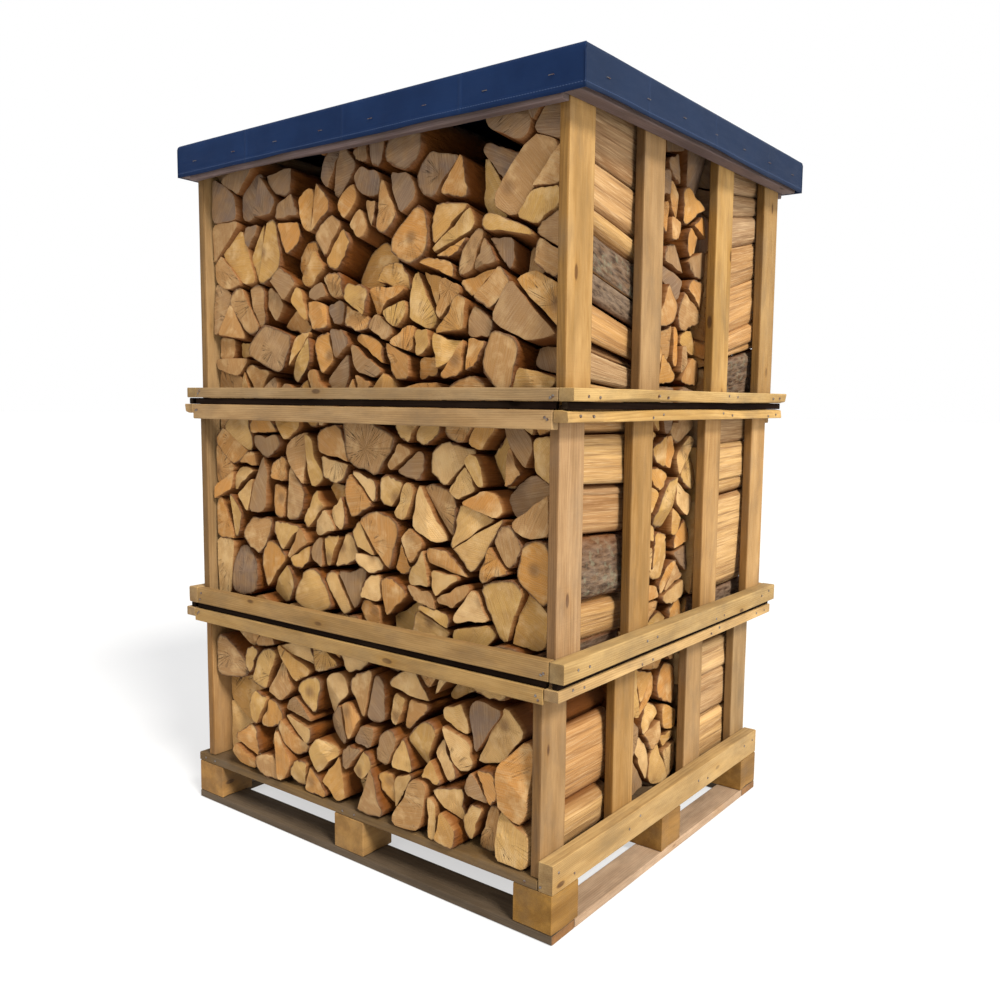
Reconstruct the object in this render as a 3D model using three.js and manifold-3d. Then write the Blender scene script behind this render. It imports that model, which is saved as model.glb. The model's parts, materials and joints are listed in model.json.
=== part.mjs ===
// A crate of split firewood on a block pallet, under a fitted cover.
// Millimetres, +Z up. The origin is the middle of the whole outline, at ground level.
// X runs along the crate's long side, Y along its depth.

import * as THREE from 'three';
import { mergeVertices } from 'three/addons/utils/BufferGeometryUtils.js';
import Module from 'manifold-3d';

// Driving dimensions.
const GAP = 0.3; // clearance between pieces that touch

const CRATE_W = 1200; // over the rails, along X
const CRATE_D = 1050; // over the rails, along Y
const BASE_W = 1163; // pallet, along X
const BASE_D = 1016; // pallet, along Y

const BOARD_T = 20; // pallet bottom boards
const END_BOARD_W = 86; // the front and back ones
const SIDE_BOARD_W = 72;
const BLOCK_W = 98;
const BLOCK_TOP = 104;
const DECK_T = 22;
const BEAM_T = 36; // the beam that stands on edge along the pallet's right side
const BEAM_TOP = 168;

const SLAT_T = 22;
const SLAT_W = 92;
const SLAT_INNER_Y = 175; // middle of the two inner slats, either side of the centre
const RAIL_SIDE_T = 36; // rails on the left and right
const RAIL_FRONT_T = 22; // rails on the front and back

const COVER_W = 1226;
const COVER_D = 1064;
const COVER_LOW = 1636; // lower edge of the cover's skirt
const COVER_TOP = 1718;
const COVER_T = 5;

const LOG_ROOM = 14; // from the log stack to the front rails

// The tiers were stacked a little out of line: each stands this much further right than the one below.
const TIER_STEP = 12;
const COVER_SHIFT = 16;

// Slats of two tiers meet in the middle of each belt of rails.
const DECK_TOP = BLOCK_TOP + DECK_T;
const RAIL_FACE_X = CRATE_W / 2 - RAIL_SIDE_T; // inner face of the side rails
const TIERS = [
  {
    name: 'tier1',
    shift: -TIER_STEP,
    z: [DECK_TOP, 537],
    slatFace: BASE_W / 2 - BEAM_T - GAP, // inside the pallet's beam
    rings: [{ name: 'top', side: [506, 530], front: [496, 530] }],
  },
  {
    name: 'tier2',
    shift: 0,
    z: [537, 1076],
    slatFace: RAIL_FACE_X - GAP,
    rings: [
      { name: 'bottom', side: [544, 586], front: [544, 586] },
      { name: 'top', side: [1044, 1068], front: [1030, 1068] },
    ],
  },
  {
    name: 'tier3',
    shift: TIER_STEP,
    z: [1076, 1700],
    slatFace: RAIL_FACE_X - GAP,
    rings: [
      { name: 'bottom', side: [1084, 1110], front: [1084, 1110] },
      { name: 'top', side: null, front: [1627, 1690] },
    ],
  },
];

const paleWood = () => new THREE.MeshStandardMaterial({ color: 0xdcb478, roughness: 0.8, metalness: 0 });
const greyWood = () => new THREE.MeshStandardMaterial({ color: 0xa5794c, roughness: 0.85, metalness: 0 });
const railWood = () => new THREE.MeshStandardMaterial({ color: 0xe6c48c, roughness: 0.8, metalness: 0 });
const firewood = () => new THREE.MeshStandardMaterial({ color: 0xc8a06e, roughness: 0.9, metalness: 0 });
const navyCloth = () => new THREE.MeshStandardMaterial({ color: 0x1c345c, roughness: 0.7, metalness: 0 });

const wasm = await Module();
wasm.setup();

function toSolid(geometry) {
  const bare = geometry.clone();
  bare.deleteAttribute('normal');
  bare.deleteAttribute('uv');
  const merged = mergeVertices(bare);
  return new wasm.Manifold(new wasm.Mesh({
    numProp: 3,
    vertProperties: new Float32Array(merged.attributes.position.array),
    triVerts: new Uint32Array(merged.index.array),
  }));
}

function toMesh(solid, name, material) {
  const { vertProperties, triVerts } = solid.getMesh();
  const geometry = new THREE.BufferGeometry();
  geometry.setAttribute('position', new THREE.BufferAttribute(vertProperties, 3));
  geometry.setIndex(new THREE.BufferAttribute(triVerts, 1));
  const mesh = new THREE.Mesh(geometry, material);
  mesh.name = name;
  return mesh;
}

// A board or block given by its lowest and highest corner.
function addBox(parent, name, low, high, material) {
  const size = high.map((value, i) => value - low[i]);
  const mesh = new THREE.Mesh(new THREE.BoxGeometry(...size), material);
  mesh.name = name;
  mesh.position.set(...high.map((value, i) => (value + low[i]) / 2));
  parent.add(mesh);
}

const ordered = (a, b) => [Math.min(a, b), Math.max(a, b)];

// Perimeter boards on the ground: the front and back ones run through, the side ones fit between.
function addBottomBoards(pallet) {
  const end = BASE_D / 2 - END_BOARD_W - GAP;
  for (const [name, side] of [['front', -1], ['back', 1]]) {
    const [near, far] = ordered(side * BASE_D / 2, side * (BASE_D / 2 - END_BOARD_W));
    addBox(pallet, `bottom_board_${name}`, [-BASE_W / 2, near, 0], [BASE_W / 2, far, BOARD_T], greyWood());
  }
  for (const [name, side] of [['left', -1], ['right', 1]]) {
    const [near, far] = ordered(side * BASE_W / 2, side * (BASE_W / 2 - SIDE_BOARD_W));
    addBox(pallet, `bottom_board_${name}`, [near, -end, 0], [far, end, BOARD_T], greyWood());
  }
}

// Nine blocks in three rows of three. The centre one reaches the ground, where no board runs.
function addBlocks(pallet) {
  const rows = { front: -(BASE_D - BLOCK_W) / 2, middle: 0, back: (BASE_D - BLOCK_W) / 2 };
  const columns = { left: -(BASE_W - BLOCK_W) / 2, centre: 0, right: (BASE_W - BLOCK_W) / 2 };
  for (const [row, y] of Object.entries(rows)) {
    for (const [column, x] of Object.entries(columns)) {
      const low = row === 'middle' && column === 'centre' ? 0 : BOARD_T + GAP;
      addBox(pallet, `block_${row}_${column}`, [x - BLOCK_W / 2, y - BLOCK_W / 2, low],
        [x + BLOCK_W / 2, y + BLOCK_W / 2, BLOCK_TOP - GAP], greyWood());
    }
  }
}

// The deck lies on the blocks, up to the side beam, which stands on them too.
function addDeckAndBeam(pallet) {
  const beamIn = BASE_W / 2 - BEAM_T;
  addBox(pallet, 'deck', [-BASE_W / 2, -BASE_D / 2, BLOCK_TOP],
    [beamIn - GAP, BASE_D / 2, DECK_TOP], greyWood());
  addBox(pallet, 'side_beam', [beamIn, -BASE_D / 2, BLOCK_TOP],
    [BASE_W / 2, BASE_D / 2, BEAM_TOP], railWood());
}

// Four upright slats on the left and right of a tier.
function addSlats(group, tier) {
  const endY = CRATE_D / 2 - RAIL_FRONT_T - GAP - SLAT_W / 2;
  const places = { front: -endY, mid_front: -SLAT_INNER_Y, mid_back: SLAT_INNER_Y, back: endY };
  const [low, high] = [tier.z[0] + GAP, tier.z[1] - GAP];
  for (const [side, sign] of [['left', -1], ['right', 1]]) {
    const [near, far] = ordered(sign * tier.slatFace, sign * (tier.slatFace - SLAT_T));
    for (const [place, y] of Object.entries(places)) {
      addBox(group, `${tier.name}_slat_${side}_${place}`, [near, y - SLAT_W / 2, low],
        [far, y + SLAT_W / 2, high], paleWood());
    }
  }
}

// Side rails run the full depth, and the front and back rails fit between them.
function addRails(group, tier) {
  const endX = RAIL_FACE_X - GAP;
  for (const ring of tier.rings) {
    const name = `${tier.name}_${ring.name}_rail`;
    for (const [side, sign] of ring.side ? [['left', -1], ['right', 1]] : []) {
      const [near, far] = ordered(sign * RAIL_FACE_X, sign * CRATE_W / 2);
      addBox(group, `${name}_${side}`, [near, -CRATE_D / 2, ring.side[0]],
        [far, CRATE_D / 2, ring.side[1]], railWood());
    }
    for (const [side, sign] of [['front', -1], ['back', 1]]) {
      const [near, far] = ordered(sign * (CRATE_D / 2 - RAIL_FRONT_T), sign * CRATE_D / 2);
      addBox(group, `${name}_${side}`, [-endX, near, ring.front[0]],
        [endX, far, ring.front[1]], railWood());
    }
  }
}

// The firewood is one plain solid here: the outer shape of the stack, stepping with the tiers.
function addLogStack(parent) {
  const depth = CRATE_D - 2 * (RAIL_FRONT_T + LOG_ROOM);
  const parts = TIERS.map((tier, i) => {
    const low = tier.z[0] + (i === 0 ? GAP : 0);
    const high = tier.z[1] - (i === TIERS.length - 1 ? GAP : 0);
    const box = new THREE.BoxGeometry(2 * (tier.slatFace - SLAT_T - GAP) - 2 * TIER_STEP, depth, high - low);
    box.translate(tier.shift, 0, (low + high) / 2);
    return toSolid(box);
  });
  parent.add(toMesh(parts[0].add(parts[1]).add(parts[2]), 'log_stack', firewood()));
}

// The cover is a sheet over the top with a skirt on four sides, open below.
function addCover(parent) {
  const height = COVER_TOP - COVER_LOW;
  const outer = new THREE.BoxGeometry(COVER_W, COVER_D, height);
  const room = new THREE.BoxGeometry(COVER_W - 2 * COVER_T, COVER_D - 2 * COVER_T, height);
  room.translate(0, 0, -COVER_T);
  const cover = toMesh(toSolid(outer).subtract(toSolid(room)), 'cover', navyCloth());
  cover.position.set(COVER_SHIFT, 0, (COVER_TOP + COVER_LOW) / 2);
  parent.add(cover);
}

const crate = new THREE.Group();
const pallet = new THREE.Group();
pallet.position.x = TIERS[0].shift;
crate.add(pallet);
addBottomBoards(pallet);
addBlocks(pallet);
addDeckAndBeam(pallet);
for (const tier of TIERS) {
  const group = new THREE.Group();
  group.position.x = tier.shift;
  crate.add(group);
  addSlats(group, tier);
  addRails(group, tier);
}
addLogStack(crate);
addCover(crate);

// The lowest rails reach furthest left and the cover furthest right: their middle is the origin.
crate.position.x = -(COVER_SHIFT + COVER_W / 2 - TIER_STEP - CRATE_W / 2) / 2;

export default crate;
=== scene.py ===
"""A timber crate of split firewood on a block pallet, under a navy cover.

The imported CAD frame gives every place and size. Metres, +Z up, the crate's front towards -Y.
Logs and boards are all prisms: an outline in (u, v) carried along w, with the wood's own coordinates
kept in the attribute `grain`, so that growth rings and fibres run true through faces and ends.
"""

import json
import math
import random
from collections import namedtuple

import bmesh
import bpy
import numpy as np
from mathutils import Matrix, Vector


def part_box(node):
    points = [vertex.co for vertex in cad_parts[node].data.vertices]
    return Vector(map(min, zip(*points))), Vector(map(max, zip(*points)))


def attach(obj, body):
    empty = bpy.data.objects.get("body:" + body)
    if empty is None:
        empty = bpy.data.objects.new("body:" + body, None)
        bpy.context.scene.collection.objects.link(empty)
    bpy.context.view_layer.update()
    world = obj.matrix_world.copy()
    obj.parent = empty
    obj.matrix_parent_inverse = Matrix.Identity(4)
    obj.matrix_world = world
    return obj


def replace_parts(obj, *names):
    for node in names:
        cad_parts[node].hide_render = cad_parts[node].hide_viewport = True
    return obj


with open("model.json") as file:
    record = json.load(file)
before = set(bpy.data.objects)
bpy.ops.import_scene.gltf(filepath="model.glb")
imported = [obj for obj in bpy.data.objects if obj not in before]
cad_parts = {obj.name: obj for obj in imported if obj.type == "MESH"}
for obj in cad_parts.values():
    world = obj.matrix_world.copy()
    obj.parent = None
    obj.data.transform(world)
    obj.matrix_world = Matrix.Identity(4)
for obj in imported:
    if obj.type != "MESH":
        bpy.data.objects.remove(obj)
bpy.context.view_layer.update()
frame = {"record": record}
ROOT = "root"

# Camera, as fitted to the crate's corners.
CAMERA_PLACE = (1.5637, -1.9990, 1.0848)
CAMERA_AZIMUTH = math.radians(37.48)
CAMERA_PITCH = math.radians(5.99)
CAMERA_ROLL = math.radians(0.57)
CAMERA_LENS = 34.19
SENSOR = 36.0

# Light.
ROOM_DIM = (0.22, 0.23, 0.25)  # the room on the camera's side
ROOM_BRIGHT = (1.0, 1.0, 1.0)  # the backdrop beyond the crate
SUN_FROM = (0.690, -0.262, 0.675)
SUN_STRENGTH = 4.2
SUN_WIDTH = math.radians(14)
SUN_COLOUR = (1.0, 0.97, 0.92)
AREA_LIGHTS = {  # place, target, size, power and colour
    "key": ((4.6, -0.5, 2.1), (0.0, 0.0, 0.85), 2.4, 95.0, (1.0, 0.96, 0.90)),
    "softbox": ((1.3, -7.0, 5.2), (0.0, -0.4, 0.7), 3.6, 242.0, (1.0, 0.97, 0.93)),
}
FLOOR_REACH = 60.0
FLOOR_HEIGHT = -0.001
FLOOR_GLOW = 0.56

# Wood grain. A stretch of (a, a, b) makes marks that are a / b times as long along the grain as across it.
FIBRE = (420.0, 420.0, 12.0)
STREAK = (46.0, 46.0, 2.2)
LOG_RING = 0.0042  # between two growth rings of a log
RINGS = (0.0036, 0.55)  # most boards' space between rings, and how much darker their late wood is

# Logs.
LOG_LENGTH = 0.330
LOG_SIZE = 0.122  # mean width of a whole round before it is split
LOG_GAP = (0.0010, 0.0046)  # each log keeps this far inside its cell
OVAL = (1.00, 1.14)  # a round's oval against its cell
OVAL_SIDES = 18
LOG_POINTS = 28  # points round a log
LOG_RINGS = 5  # outlines along a log, between its ends
LOG_CHAMFER = 0.0011
CAP_SHARES = (0.91, 0.60, 0.26)  # the rings of points on an end, as shares of its outline
ROW_WIDTH = 1.07  # of an end row's cells, before they are fitted between the slats
ROW_HALF_DEPTH = 0.160  # of the middle row
ROW_FACE_HEIGHTS = (0.13, 0.30, 0.48, 0.65)
ROW_FACE_PLACES = (0.519, 0.508, 0.494, 0.486)  # how far the end rows reach from the middle at those heights
MIDDLE_PARTING = 0.172  # from the middle of the middle row to where its outer stacks end
MIDDLE_SPACE = 0.012  # between those and its centre stack
STACK_TOP = 1.690
LEFT_OUT = 0.34  # the share of the topmost logs that are left out
BESIDE = 0.045  # a log this close to the slats lies beside them
SLAT_ROOM = 0.014  # between the slats and the middle row's ends
LEAN = {"tier1": 0.0, "tier2": 0.05, "tier3": 0.26}  # how steeply the end rows' logs run down inwards
UPPER_SHADE = 0.34  # how much darker the top tier's logs are, as a share of the range of tints: painted shade of the cover
COVER_SHADE_TOP = 0.140  # the logs this close to the top take the darkest grey tints: painted shade of the cover

# Boards.
EDGE_RADIUS = 0.0022
BOARD_CHAMFER = 0.0012
BOARD_SHRINK = 0.0004
BOARD_STEP = 0.016  # between points round a board
RING_STEP = 0.05  # between outlines along a board
WANE = 0.005
DECK_BOARD = 0.120
DECK_SPACE = 0.014
DARK_STRIP_BACK = 0.004  # the dark strips lie this far back from the rails' faces
RAIL_RINGS = ("tier1_top_rail", "tier2_bottom_rail", "tier2_top_rail", "tier3_bottom_rail")

# Nail heads.
NAIL_RADIUS = 0.0030
NAIL_PROUD = 0.0009
NAIL_DEPTH = 0.004
NAIL_SIDES = 10

# Staples on the cover's skirt.
STAPLE_SPACE = 0.150
STAPLE_HEIGHT = 0.034
STAPLE_WIDTH = 0.012
STAPLE_WIRE = 0.0011
STAPLE_PROUD = 0.0012
STAPLE_SHAPE = ((-1.0, -0.0030), (-0.94, 0.0), (0.94, 0.0), (1.0, -0.0030))  # share of the half width, depth

# Cover.
COVER_FOLD = 0.009
COVER_THICK = 0.0018
COVER_RIPPLE = 0.0032
COVER_EASE = 0.09  # the skirt's ripples die away this close to a corner
COVER_SAG = 0.004
COVER_WAVES = 0.003
COVER_MESH = 0.022
HEM = 0.014
STITCH = 0.0065
CREASE_SPACING = {"X": 0.330, "Y": 0.300}  # where the cover was folded before it was fitted


# ---------------- camera, light and floor


def add_object(name, data):
    made = bpy.data.objects.new(name, data)
    bpy.context.scene.collection.objects.link(made)
    return made


def view_axes(azimuth, pitch, roll):
    """The camera's right, up and forward directions."""
    forward = Vector(
        (-math.sin(azimuth) * math.cos(pitch), math.cos(azimuth) * math.cos(pitch), -math.sin(pitch))
    )
    level = Vector((math.cos(azimuth), math.sin(azimuth), 0.0))
    upright = level.cross(forward)
    right = level * math.cos(roll) + upright * math.sin(roll)
    return right, right.cross(forward), forward


def add_camera():
    data = bpy.data.cameras.new("camera")
    data.sensor_width = SENSOR
    data.lens = CAMERA_LENS
    data.clip_end = 200
    camera = add_object("camera", data)
    right, up, forward = view_axes(CAMERA_AZIMUTH, CAMERA_PITCH, CAMERA_ROLL)
    turn = Matrix((right, up, -forward)).transposed().to_4x4()
    camera.matrix_world = Matrix.Translation(CAMERA_PLACE) @ turn
    bpy.context.scene.camera = camera


def add_light(name, kind, place, target, power, colour, **settings):
    data = bpy.data.lights.new(name, kind)
    data.energy = power
    data.color = colour
    for key, value in settings.items():
        setattr(data, key, value)
    light = add_object(name, data)
    light.location = place
    light.rotation_euler = (Vector(target) - Vector(place)).to_track_quat("-Z", "Y").to_euler()


def add_studio():
    """A white backdrop beyond the crate, a dimmer room on the near side, a sun, and two area lights.

    The key stands on the right and the softbox high in front.
    """
    world = bpy.data.worlds.new("studio")
    world.use_nodes = True
    tree = world.node_tree
    background = tree.nodes["Background"]
    background.inputs["Strength"].default_value = 1.0
    away = view_axes(CAMERA_AZIMUTH, 0.0, 0.0)[2]
    facing = Value(tree, "ShaderNodeTexCoord", output="Generated").vector("DOT_PRODUCT", away, output="Value")
    room = facing.between(-0.25, 0.55).ramp([(0.0, ROOM_DIM), (1.0, ROOM_BRIGHT)])
    tree.links.new(room.socket, background.inputs["Color"])
    bpy.context.scene.world = world
    bpy.context.scene.view_settings.view_transform = "Standard"

    add_light("sun", "SUN", SUN_FROM, (0, 0, 0), SUN_STRENGTH, SUN_COLOUR, angle=SUN_WIDTH)
    for name, (place, target, size, power, colour) in AREA_LIGHTS.items():
        add_light(name, "AREA", place, target, power, colour, shape="SQUARE", size=size)

    ways = ((-1, -1), (1, -1), (1, 1), (-1, 1))
    corners = [(x * FLOOR_REACH, y * FLOOR_REACH, FLOOR_HEIGHT) for x, y in ways]
    floor = add_object("floor", new_mesh("floor", corners, [(0, 1, 2, 3)], [floor_paint()]))


# ---------------- node helpers


def node(tree, kind, inputs=None, **settings):
    """A new node, with its settings, and its inputs as plain values or as Values."""
    made = tree.nodes.new(kind)
    for key, value in settings.items():
        setattr(made, key, value)
    for key, value in (inputs or {}).items():
        if isinstance(value, Value):
            tree.links.new(value.socket, made.inputs[key])
        else:
            made.inputs[key].default_value = value
    return made


class Value:
    """A number, place or colour that varies over a surface: one output of a new node. Using it adds nodes."""

    def __init__(self, tree, kind, inputs=None, output=0, **settings):
        self.tree = tree
        self.socket = node(tree, kind, inputs, **settings).outputs[output]

    def maths(self, operation, *others):
        return Value(self.tree, "ShaderNodeMath", dict(enumerate((self, *others))), operation=operation)

    def __add__(self, other):
        return self.maths("ADD", other)

    def __sub__(self, other):
        return self.maths("SUBTRACT", other)

    def __mul__(self, other):
        return self.maths("MULTIPLY", other)

    def vector(self, operation, *others, output=0):
        inputs = dict(enumerate((self, *others)))
        return Value(self.tree, "ShaderNodeVectorMath", inputs, output, operation=operation)

    def part(self, axis):
        return Value(self.tree, "ShaderNodeSeparateXYZ", {0: self}, axis)

    def between(self, low, high, to_low=0.0, to_high=1.0, smooth=False):
        """The number brought from the range low to high into another range, and kept within that one."""
        inputs = {"Value": self, "From Min": low, "From Max": high, "To Min": to_low, "To Max": to_high}
        kind = "SMOOTHSTEP" if smooth else "LINEAR"
        return Value(self.tree, "ShaderNodeMapRange", inputs, interpolation_type=kind)

    def noise(self, scale, detail=3.0, roughness=0.55):
        """Noise at this place. The scale is a number, or a stretch for each direction."""
        place = self
        if isinstance(scale, tuple):
            place, scale = self.vector("MULTIPLY", scale), 1.0
        inputs = {"Vector": place, "Scale": scale, "Detail": detail, "Roughness": roughness}
        return Value(self.tree, "ShaderNodeTexNoise", inputs, "Fac")

    def spots(self, scale):
        """The distance to the nearest of many scattered spots."""
        inputs = {"Vector": self.vector("MULTIPLY", scale), "Scale": 1.0}
        return Value(self.tree, "ShaderNodeTexVoronoi", inputs, "Distance")

    def ramp(self, stops):
        made = Value(self.tree, "ShaderNodeValToRGB", {"Fac": self}, "Color")
        elements = made.socket.node.color_ramp.elements
        while len(elements) < len(stops):
            elements.new(0.5)
        for element, (place, colour) in zip(elements, stops):
            element.position = place
            element.color = (*colour, 1.0)
        return made


def mix(share, first, second):
    """The first colour where share is 0, going over to the second where it is 1."""
    inputs = {0: share}
    for index, colour in ((6, first), (7, second)):
        inputs[index] = colour if isinstance(colour, Value) else (*colour, 1.0)
    tree = next(value.tree for value in inputs.values() if isinstance(value, Value))
    return Value(tree, "ShaderNodeMix", inputs, 2, data_type="RGBA")


def dyed(colour, red, green, blue):
    return colour[0] * red, colour[1] * green, colour[2] * blue


def new_material(name):
    material = bpy.data.materials.new(name)
    material.use_nodes = True
    material.node_tree.nodes.clear()
    return material


def attribute(material, name, output="Vector"):
    return Value(material.node_tree, "ShaderNodeAttribute", None, output, attribute_name=name)


def finish(material, colour, roughness, height=None, distance=0.001, strength=1.0, specular=0.3, others=None):
    """Gives a material its shader, with a bump where there is a height, and returns it."""
    tree = material.node_tree
    inputs = {"Base Color": colour, "Roughness": roughness, "Specular IOR Level": specular, **(others or {})}
    if height is not None:
        bump = {"Height": height, "Distance": distance, "Strength": strength}
        inputs["Normal"] = Value(tree, "ShaderNodeBump", bump, "Normal")
    shader = Value(tree, "ShaderNodeBsdfPrincipled", inputs)
    node(tree, "ShaderNodeOutputMaterial", {"Surface": shader})
    return material


# ---------------- materials


def growth_rings(grain, spacing, wander=0.010):
    """Growth rings round the pith, which wander a little."""
    slow = {"Vector": grain.vector("MULTIPLY", (9.0, 9.0, 1.6)), "Scale": 1.0, "Detail": 2.0}
    sway = Value(grain.tree, "ShaderNodeTexNoise", slow, "Color").vector("SUBTRACT", (0.5, 0.5, 0.5))
    warped = grain.vector("ADD", sway.vector("MULTIPLY", (wander * 2, wander * 2, 0.0)))
    scale = 2 * math.pi / (20 * spacing)  # at a scale of 1, 20 units of the wave's phase pass in a metre
    return Value(
        grain.tree,
        "ShaderNodeTexWave",
        {"Vector": warped, "Scale": scale, "Distortion": 1.2, "Detail": 2.0, "Detail Scale": 0.02},
        "Fac",
        wave_type="RINGS",
        rings_direction="Z",
        wave_profile="SAW",
    )


def sawn_wood(name, pale, deep, dark, ring=RINGS[0], ring_share=RINGS[1], grime=0.35, specular=0.25):
    """Sawn softwood: rings, fibres, a few knots, saw marks and some grime."""
    material = new_material(name)
    grain, tone = attribute(material, "grain"), attribute(material, "tone")
    rings, fibre = growth_rings(grain, ring), grain.noise(FIBRE, 3.0, 0.6)
    colour = mix(grain.noise(STREAK, 3.0, 0.6).between(0.30, 0.72), pale, deep)
    colour = mix(rings.between(0.25, 1.0) * ring_share, colour, dark)
    colour = mix(fibre.between(0.35, 0.7, 0.0, 0.30), colour, dark)
    knots = grain.spots((14.0, 14.0, 5.5))
    halo = knots.between(0.08, 0.30, 0.40, 0.0, smooth=True)
    colour = mix(halo, colour, dyed(deep, 0.80, 0.66, 0.45))
    knot = knots.between(0.060, 0.105, 1.0, 0.0, smooth=True)
    colour = mix(knot, colour, dyed(dark, 0.45, 0.36, 0.30))
    worn = grain.noise((22.0, 22.0, 4.5), 4.0, 0.62)
    colour = mix(worn.between(0.48, 0.70, 0.0, 0.55), colour, dyed(pale, 1.22, 1.22, 1.22))
    colour = mix(worn.between(0.50, 0.30, 0.0, 0.60), colour, dyed(deep, 0.62, 0.62, 0.62))
    dirt = grain.noise((14.0, 14.0, 7.0), 5.0, 0.65)
    colour = mix(dirt.between(0.48, 0.70, 0.0, grime), colour, (0.11, 0.080, 0.055))
    own = {
        "Hue": tone.part("Z").between(0.0, 1.0, 0.5005, 0.5085),
        "Saturation": tone.part("Y").between(0.0, 1.0, 0.99, 1.14),
        "Value": tone.part("X").between(0.0, 1.0, 0.82, 1.12),
        "Color": colour,
    }
    colour = Value(grain.tree, "ShaderNodeHueSaturation", own)
    saw = grain.noise((3.0, 3.0, 330.0), 2.0, 0.5)
    height = fibre * 0.8 + saw * 0.5 - rings * 0.25
    return finish(material, colour, fibre.between(0.3, 0.7, 0.70, 0.88), height, 0.0010, 0.9, specular)


def log_tints(tint):
    """The firewood's range of colours: cream, straw, ochre, orange, tan and greyish pink, whose grey end is
    also painted shade.
    """
    return tint.ramp(
        [
            (0.00, (0.590, 0.382, 0.172)),
            (0.20, (0.520, 0.312, 0.112)),
            (0.40, (0.455, 0.266, 0.074)),
            (0.58, (0.470, 0.205, 0.042)),
            (0.76, (0.375, 0.198, 0.070)),
            (0.90, (0.240, 0.142, 0.070)),
            (1.00, (0.125, 0.084, 0.066)),
        ]
    )


def log_end():
    """A sawn log end: rings round the pith, cracks that run out from it, saw marks and a darker rim."""
    material = new_material("log_end")
    tree = material.node_tree
    grain, tone = attribute(material, "grain"), attribute(material, "tone")
    tint, chance, other = tone.part("X"), tone.part("Y"), tone.part("Z")
    x, y = grain.part("X"), grain.part("Y")
    flat = Value(tree, "ShaderNodeCombineXYZ", {0: x, 1: y, 2: chance})
    rings = growth_rings(grain, LOG_RING, 0.006)
    colour = mix(rings.between(0.2, 1.0) * 0.30, log_tints(tint), (0.17, 0.085, 0.032))
    blotch = flat.noise((15.0, 15.0, 9.0), 4.0, 0.6)
    colour = mix(blotch.between(0.42, 0.66, 0.0, 0.62), colour, (0.270, 0.140, 0.045))
    pale = flat.noise((24.0, 24.0, 31.0), 3.0, 0.6).between(0.50, 0.70) * tint.between(0.78, 0.90, 0.60, 0.08)
    colour = mix(pale, colour, (0.58, 0.390, 0.185))
    radius = grain.vector("MULTIPLY", (1.0, 1.0, 0.0)).vector("LENGTH", output="Value")
    heart = radius.between(0.004, 0.022, 0.75, 0.0, smooth=True) * other.between(0.62, 0.80)
    colour = mix(heart, colour, (0.16, 0.078, 0.028))
    angle = y.maths("ARCTAN2", x)
    spoke = Value(tree, "ShaderNodeCombineXYZ", {0: angle * 2.6, 1: radius, 2: chance})
    lines = spoke.noise((3.0, 5.0, 40.0), 2.0, 0.5)
    crack = (lines - 0.5).maths("ABSOLUTE").between(0.003, 0.012, 1.0, 0.0)
    crack *= flat.noise((17.0, 17.0, 55.0), 1.0).between(0.50, 0.58)
    crack *= chance.between(0.45, 0.80)
    colour = mix(crack * 0.9, colour, (0.035, 0.014, 0.006))
    ragged = attribute(material, "rim", "Fac") + (blotch - 0.5) * 0.6
    colour = mix(ragged.between(0.15, 0.95, 0.70, 0.0), colour, (0.085, 0.040, 0.016))
    colour = mix(ragged.between(0.02, 0.30, 0.85, 0.0), colour, (0.066, 0.034, 0.014))
    speck = flat.noise(520.0, 2.0, 0.7)
    colour = mix(speck.between(0.55, 0.75, 0.0, 0.35), colour, (0.12, 0.062, 0.026))
    around = {"Vector": grain, "Angle": other * 6.3}
    turned = Value(tree, "ShaderNodeVectorRotate", around, rotation_type="Z_AXIS")
    saw = turned.noise((420.0, 10.0, 0.0), 2.0, 0.6)
    colour = mix(saw.between(0.45, 0.75, 0.0, 0.22), colour, (0.55, 0.42, 0.26))
    height = saw * 0.9 + speck * 0.35 - crack * 1.6
    return finish(material, colour, 0.86, height, 0.0016, 0.9, 0.2)


def shaded_inside(material, colour):
    """Painted shade: dims a colour to a dark red-brown on the sides that are closed in by other logs, where
    shade falls in the gaps.
    """
    return mix(attribute(material, "open", "Fac"), (0.160, 0.0480, 0.0050), colour)


def log_split():
    """A split face: long torn fibres, golden, with darker streaks."""
    material = new_material("log_split")
    grain, tone = attribute(material, "grain"), attribute(material, "tone")
    rings, fibre = growth_rings(grain, LOG_RING, 0.014), grain.noise(FIBRE, 3.0, 0.6)
    colour = mix(0.40, log_tints(tone.part("X")), (0.56, 0.35, 0.155))
    colour = mix(grain.noise(STREAK, 3.0, 0.6).between(0.38, 0.66, 0.0, 0.75), colour, (0.20, 0.092, 0.028))
    colour = mix(fibre.between(0.48, 0.72, 0.0, 0.50), colour, (0.66, 0.47, 0.26))
    colour = mix(rings * 0.14, colour, (0.22, 0.12, 0.05))
    torn = grain.noise((130.0, 130.0, 3.0), 4.0, 0.65)
    colour = mix(torn.between(0.52, 0.70, 0.0, 0.75), colour, (0.11, 0.048, 0.016))
    return finish(material, shaded_inside(material, colour), 0.8, torn + fibre * 0.4, 0.0028, 1.0, 0.25)


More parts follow.
